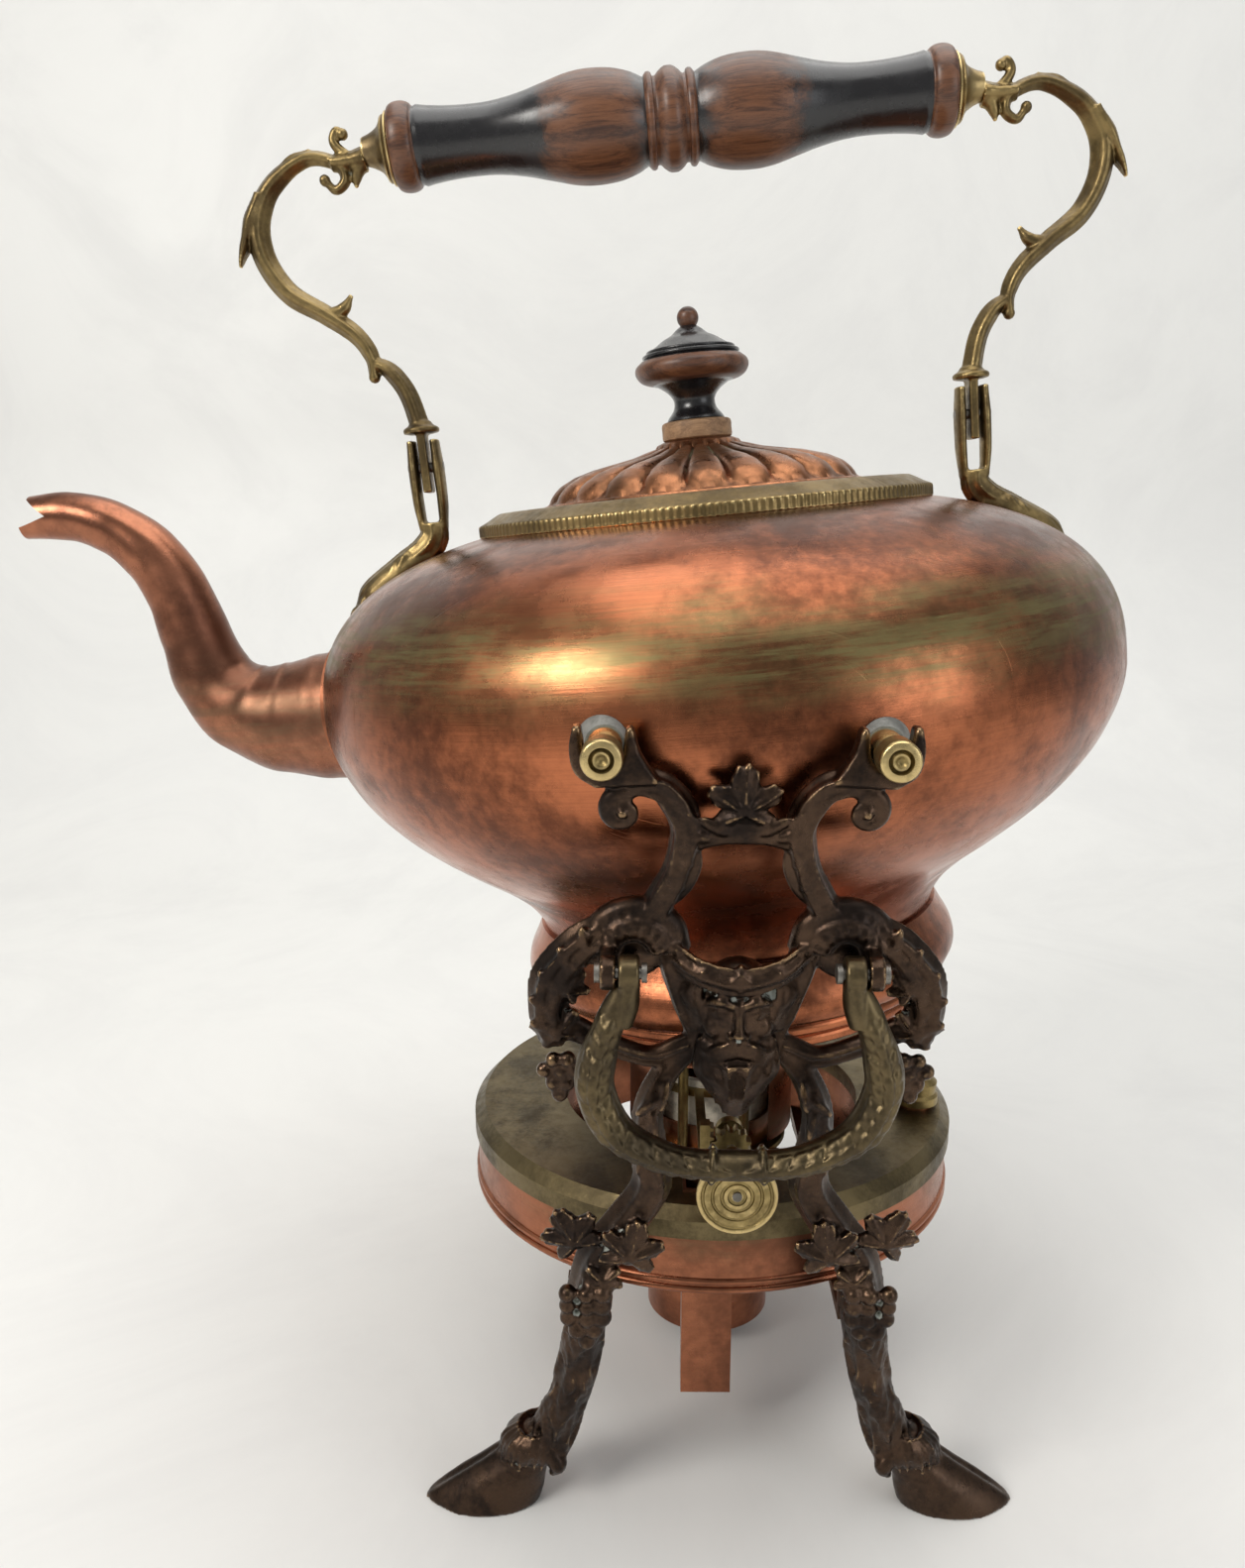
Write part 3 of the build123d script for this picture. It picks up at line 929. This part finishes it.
hood_spring = HOOD_TOP - 10
with BuildPart() as burner_hood:
    with BuildSketch(Plane.XZ):
        with BuildLine():
            Line((HOOD_RADIUS - SHEET, HOOD_SKIRT), (HOOD_RADIUS, HOOD_SKIRT))
            Line((HOOD_RADIUS, HOOD_SKIRT), (HOOD_RADIUS, hood_spring))
            outer = EllipticalCenterArc((HOOD_VENT_RADIUS, hood_spring), HOOD_RADIUS - HOOD_VENT_RADIUS, 10,
                                        arc_size=90)
            Line(outer @ 1, (HOOD_VENT_RADIUS, HOOD_TOP - SHEET))
            inner = EllipticalCenterArc((HOOD_VENT_RADIUS, hood_spring), HOOD_RADIUS - HOOD_VENT_RADIUS - SHEET,
                                        10 - SHEET, arc_size=90)
            Line((HOOD_RADIUS - SHEET, hood_spring), (HOOD_RADIUS - SHEET, HOOD_SKIRT))
        make_face()
    revolve(axis=Axis.Z)
    with Locations((0, -HOOD_RADIUS, HOOD_SKIRT + 9)):
        Box(2 * HOOD_WINDOW, 2 * HOOD_WINDOW, 28, mode=Mode.SUBTRACT)
save(burner_hood.part, "burner_hood")

with BuildPart() as hood_posts:
    for angle in (65, 115, 245, 295):
        with BuildSketch(Plane.XY.offset(FLANGE_HEIGHT + FLANGE_THICKNESS)):
            with Locations((POST_CIRCLE * cos(radians(angle)), POST_CIRCLE * sin(radians(angle)))):
                Circle(POST_RADIUS)
        extrude(amount=hood_spring + 5.6 - FLANGE_HEIGHT - FLANGE_THICKNESS)
    add(burner_hood.part, mode=Mode.SUBTRACT)
save(hood_posts.part, "hood_posts")

neck_bottom = TANK_TOP - SHEET
with BuildPart() as filler_neck:
    with Locations((*filler_place, (neck_bottom + TANK_TOP + FILLER_NECK_HEIGHT) / 2)):
        Cylinder(FILLER_RADIUS, FILLER_NECK_HEIGHT + SHEET)
        Cylinder(FILLER_RADIUS - SHEET, FILLER_NECK_HEIGHT + SHEET, mode=Mode.SUBTRACT)
save(filler_neck.part, "filler_neck")

with BuildPart() as filler_cap:
    cap_bottom = TANK_TOP + CAP_SEAT
    with BuildSketch(Plane.XZ):
        Polygon((0, cap_bottom), (CAP_RADIUS, cap_bottom), (CAP_RADIUS, cap_bottom + 2.2),
                (CAP_RADIUS - 0.7, cap_bottom + 3.0), (CAP_RADIUS - 0.4, cap_bottom + CAP_HEIGHT - 1.6),
                (CAP_RADIUS - 1.8, cap_bottom + CAP_HEIGHT - 0.3), (0, cap_bottom + CAP_HEIGHT), align=None)
    revolve(axis=Axis.Z)
    with Locations((0, 0, cap_bottom + (CAP_HEIGHT - 1.6) / 2)):
        Cylinder(FILLER_RADIUS + RUNNING_FIT, CAP_HEIGHT - 1.6, mode=Mode.SUBTRACT)
save(Location((*filler_place, 0)) * filler_cap.part, "filler_cap")

# ================================ Wick raiser ====================================
pitch_radius = TOOTH_PITCH * PINION_TEETH / (2 * pi)
pitch_line = WINDER_X - pitch_radius
tooth_root = (TOOTH_PITCH - BACKLASH) / 2 + 0.3
tooth_tip = (TOOTH_PITCH - BACKLASH) / 2 - 0.5


def tooth(reach):
    """One tooth pointing along +X from its root line at x = 0."""
    return Polygon((-0.3, -tooth_root / 2), (reach, -tooth_tip / 2), (reach, tooth_tip / 2), (-0.3, tooth_root / 2),
                   align=None)


with BuildPart() as winder_bearings:
    for bearing_y in BEARING_Y:
        with BuildSketch(Plane.XZ.offset(-bearing_y)):
            with Locations((WINDER_X, WINDER_HEIGHT)):
                Circle(BEARING_WIDTH / 2)
            with Locations((WINDER_X, (WINDER_HEIGHT + TANK_TOP) / 2)):
                Rectangle(BEARING_WIDTH, WINDER_HEIGHT - TANK_TOP)
            with Locations((WINDER_X, WINDER_HEIGHT)):
                Circle(WINDER_SHAFT_RADIUS + RUNNING_FIT, mode=Mode.SUBTRACT)
        extrude(amount=BEARING_THICKNESS / 2, both=True)
save(winder_bearings.part, "winder_bearings")

shaft_length = WINDER_INNER_Y - WINDER_DISC_Y
with BuildPart() as winder_shaft:
    with Locations(Location((WINDER_X, (WINDER_INNER_Y + WINDER_DISC_Y) / 2, WINDER_HEIGHT), (90, 0, 0))):
        Cylinder(WINDER_SHAFT_RADIUS, shaft_length)
save(winder_shaft.part, "winder_shaft")

with BuildPart() as winder_disc:
    with Locations(Location((WINDER_X, WINDER_DISC_Y + WINDER_DISC_THICKNESS / 2, WINDER_HEIGHT), (90, 0, 0))):
        Cylinder(WINDER_DISC_RADIUS, WINDER_DISC_THICKNESS)
        Cylinder(WINDER_SHAFT_RADIUS, WINDER_DISC_THICKNESS, mode=Mode.SUBTRACT)
save(winder_disc.part, "winder_disc")

with BuildPart() as pinion:
    with BuildSketch(Plane.XZ.offset(-RACK_Y)):
        with Locations((WINDER_X, WINDER_HEIGHT)):
            Circle(pitch_radius - TOOTH_DEPTH / 2)
        for number in range(PINION_TEETH):
            angle = (number + 0.5) * 360 / PINION_TEETH
            root = pitch_radius - TOOTH_DEPTH / 2
            with Locations(Location((WINDER_X + root * cos(radians(angle)), WINDER_HEIGHT + root * sin(radians(angle))),
                                    angle)):
                tooth(TOOTH_DEPTH - BACKLASH)
        with Locations((WINDER_X, WINDER_HEIGHT)):
            Circle(WINDER_SHAFT_RADIUS, mode=Mode.SUBTRACT)
    extrude(amount=RACK_WIDTH / 2 - 0.2, both=True)
save(pinion.part, "pinion")

rack_face = pitch_line - TOOTH_DEPTH / 2
rack_back = rack_face - (RACK_DEPTH - TOOTH_DEPTH)
with BuildPart() as wick_rack:
    with BuildSketch(Plane.XZ.offset(-RACK_Y)):
        with Locations(((rack_face + rack_back) / 2, RACK_TOP - RACK_LENGTH / 2)):
            Rectangle(rack_face - rack_back, RACK_LENGTH)
        for number in range(-8, 3):
            with Locations((rack_face, WINDER_HEIGHT + number * TOOTH_PITCH)):
                tooth(TOOTH_DEPTH - BACKLASH)
    extrude(amount=RACK_WIDTH / 2, both=True)
save(wick_rack.part, "wick_rack")

wick_radius = AIR_TUBE_RADIUS + WICK_GAP + WICK_WALL
save(tube(wick_radius, WICK_WALL, WICK_TOP - WICK_LENGTH, WICK_TOP), "wick")

arm_start = RACK_Y + RACK_WIDTH / 2
with BuildPart() as wick_carrier:
    with Locations(((rack_face + rack_back) / 2, arm_start / 2, CARRIER_HEIGHT + CARRIER_THICKNESS / 2)):
        Box(rack_face - rack_back, -arm_start, CARRIER_THICKNESS)
    add(tube(wick_radius + CARRIER_WIDTH, CARRIER_WIDTH, CARRIER_HEIGHT, CARRIER_HEIGHT + CARRIER_THICKNESS))
    with Locations((0, 0, CARRIER_HEIGHT)):
        Cylinder(wick_radius, 4 * CARRIER_THICKNESS, mode=Mode.SUBTRACT)
save(wick_carrier.part, "wick_carrier")
